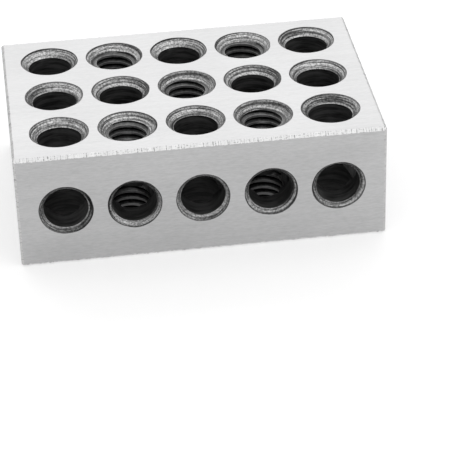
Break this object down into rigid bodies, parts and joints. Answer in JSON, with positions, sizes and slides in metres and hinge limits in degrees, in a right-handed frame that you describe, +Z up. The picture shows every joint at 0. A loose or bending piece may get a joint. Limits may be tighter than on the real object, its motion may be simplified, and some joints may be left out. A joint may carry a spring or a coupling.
{
  "type": "machinist setup block",
  "caption": "Rectangular ground steel block in the ratio 1 to 2 to 3, with a grid of crossing countersunk holes through all its faces, some of them tapped.",
  "frame": {"origin": "centre of the underside", "axes": "+X along the length, +Y across the width towards the back, +Z up through the height"},
  "size_m": [0.0762, 0.0508, 0.0254],
  "materials": {
    "ground_steel": "fine ground"
  },
  "bodies": {
    "root": {"setup_block": "ground_steel"}
  },
  "joints": []
}
